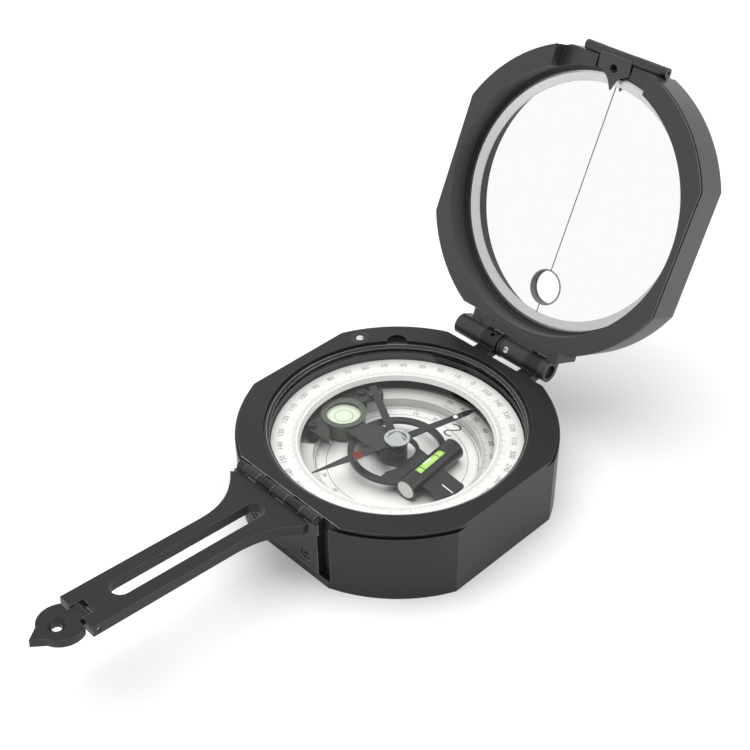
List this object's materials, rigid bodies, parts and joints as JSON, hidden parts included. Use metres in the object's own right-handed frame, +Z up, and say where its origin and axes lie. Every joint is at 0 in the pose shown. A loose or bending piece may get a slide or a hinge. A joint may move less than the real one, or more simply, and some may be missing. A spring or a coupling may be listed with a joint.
{
  "type": "geological compass",
  "caption": "Folding pocket compass for field surveying: a glazed round case with needle, levels and dials, a hinged mirror lid and a long slotted sight arm with a folding tip sight",
  "frame": {"origin": "centre of the flat bottom face of the case, under the needle's pivot", "axes": "+Z up; -Y along the sight arm, +Y towards the lid's hinge; +X to the right when looking from the arm towards the lid. Rest pose: lid open at 114 degrees from closed, arm swung out and raised 4.5 degrees"},
  "size_m": [0.0726, 0.1869, 0.0925],
  "materials": {
    "black_paint": "satin charcoal-black paint over cast aluminium, fine grain",
    "cover_paint": "satin black paint over a turned aluminium plate",
    "screw_steel": "plain turned steel",
    "black_brass": "blackened brass",
    "black_screw": "blackened steel",
    "dial_white": "white baked enamel over a thin aluminium plate",
    "ring_white": "white moulded plastic, printed with its graduations",
    "level_metal": "dark plated brass",
    "bright_plate": "bright nickel plate over brass",
    "bubble_glass": "clear polished glass over pale green liquid",
    "bubble_liquid": "pale green liquid with one bubble",
    "cover_glass": "clear polished flat glass",
    "black_rubber": "matt black rubber",
    "glass_ring_metal": "bright turned aluminium",
    "gear_brass": "plain machined brass",
    "vial_glass": "yellow-green filled glass",
    "plug_plastic": "off-white plastic",
    "needle_black": "black lacquered magnet steel",
    "needle_grey": "grey magnet steel",
    "jewel": "polished red jewel",
    "copper_wire": "fine copper wire, wound close",
    "dot_white": "white paint mark",
    "button_steel": "polished steel",
    "spring_steel": "spring steel wire",
    "mirror_glass": "silvered mirror glass with an engraved sighting line",
    "mirror_ring_metal": "bright turned aluminium",
    "washer_black": "black friction washers"
  },
  "bodies": {
    "case": {"case_shell": "black_paint", "base_cover": "cover_paint", "base_screws": "screw_steel", "arm_hinge_plate": "black_brass", "hinge_plate_screws": "black_screw", "inner_dial": "dial_white", "clinometer_scale": "ring_white", "level_bracket": "level_metal", "bracket_screws": "screw_steel", "pivot_pin": "screw_steel", "level_cup": "level_metal", "level_bezel": "bright_plate", "level_lens": "bubble_glass", "level_liquid": "bubble_liquid", "cover_glass": "cover_glass", "glass_gasket": "black_rubber", "glass_ring": "glass_ring_metal", "lift_bush": "bright_plate", "fulcrum_pin": "screw_steel", "lift_spring": "spring_steel"},
    "azimuth_ring_body": {"azimuth_ring": "ring_white", "ring_gear": "gear_brass"},
    "declination_drive": {"declination_pinion": "gear_brass", "declination_screw": "screw_steel"},
    "clinometer": {"clinometer_plate": "level_metal", "clinometer_shaft": "screw_steel", "clinometer_lever": "black_brass", "index_plate": "level_metal", "tube_sleeve": "level_metal", "tube_vial": "vial_glass", "tube_plugs": "plug_plastic"},
    "needle": {"needle_north": "needle_black", "needle_south": "needle_grey", "needle_hub": "black_brass", "needle_cap": "bright_plate", "cap_jewel": "jewel", "balance_coil": "copper_wire", "needle_dot": "dot_white"},
    "lift_button": {"lift_pin": "button_steel"},
    "lift_lever_body": {"lift_lever": "black_brass"},
    "lid": {"lid_shell": "black_paint", "mirror": "mirror_glass", "mirror_ring": "mirror_ring_metal", "lid_hinge_leaf": "black_brass", "leaf_screws": "screw_steel", "lid_hinge_pin": "screw_steel", "hinge_washers": "washer_black", "peep_hinge_block": "black_brass", "peep_pin": "screw_steel"},
    "peep": {"peep_sight": "black_brass"},
    "arm": {"sight_arm": "black_paint", "arm_hinge_pin": "screw_steel", "tip_pin": "screw_steel"},
    "tip": {"tip_sight": "black_paint"}
  },
  "joints": [
    {"name": "lid_hinge", "type": "hinge", "parent": "case", "child": "lid", "pos_m": [0, 0.0409, 0.0208], "axis": [1, 0, 0], "range_deg": [-60, 114]},
    {"name": "peep_hinge", "type": "hinge", "parent": "lid", "child": "peep", "pos_m": [0, 0.07718, 0.09123], "axis": [1, 0, 0], "range_deg": [-190, 0]},
    {"name": "arm_hinge", "type": "hinge", "parent": "case", "child": "arm", "pos_m": [0, -0.0376, 0.0204], "axis": [1, 0, 0], "range_deg": [-175.5, 12]},
    {"name": "tip_hinge", "type": "hinge", "parent": "arm", "child": "tip", "pos_m": [-0.0004, -0.09196, 0.02302], "axis": [-1, 0, 0], "range_deg": [0, 100]},
    {"name": "azimuth_turn", "type": "hinge", "parent": "case", "child": "azimuth_ring_body", "pos_m": [0, 0, 0.015], "axis": [0, 0, 1], "range_deg": [-24, 24]},
    {"name": "declination_turn", "type": "hinge", "parent": "case", "child": "declination_drive", "pos_m": [-0.031, 0, 0.01011], "axis": [1, 0, 0], "range_deg": [-290, 290]},
    {"name": "clinometer_turn", "type": "hinge", "parent": "case", "child": "clinometer", "pos_m": [0, 0, 0], "axis": [0, 0, 1], "range_deg": [-80, 84]},
    {"name": "needle_spin", "type": "hinge", "parent": "case", "child": "needle", "pos_m": [0, 0, 0.0139], "axis": [0, 0, 1], "continuous": true},
    {"name": "lift_pin_press", "type": "slide", "parent": "case", "child": "lift_button", "axis": [0, 0, -1], "range_m": [0, 0.0005], "stiffness_N_per_m": 500, "springref_m": -0.0004, "deforming": ["lift_spring"]},
    {"name": "lift_lever_tilt", "type": "hinge", "parent": "case", "child": "lift_lever_body", "pos_m": [-0.01802, 0.00999, 0.01275], "axis": [-0.4848, -0.8746, 0], "range_deg": [0, 1.9]}
  ],
  "couplings": [
    {"joint": "declination_turn", "follows": "azimuth_turn", "ratio": 12},
    {"joint": "lift_lever_tilt", "follows": "lift_pin_press", "rad_per_m": 65.36}
  ]
}
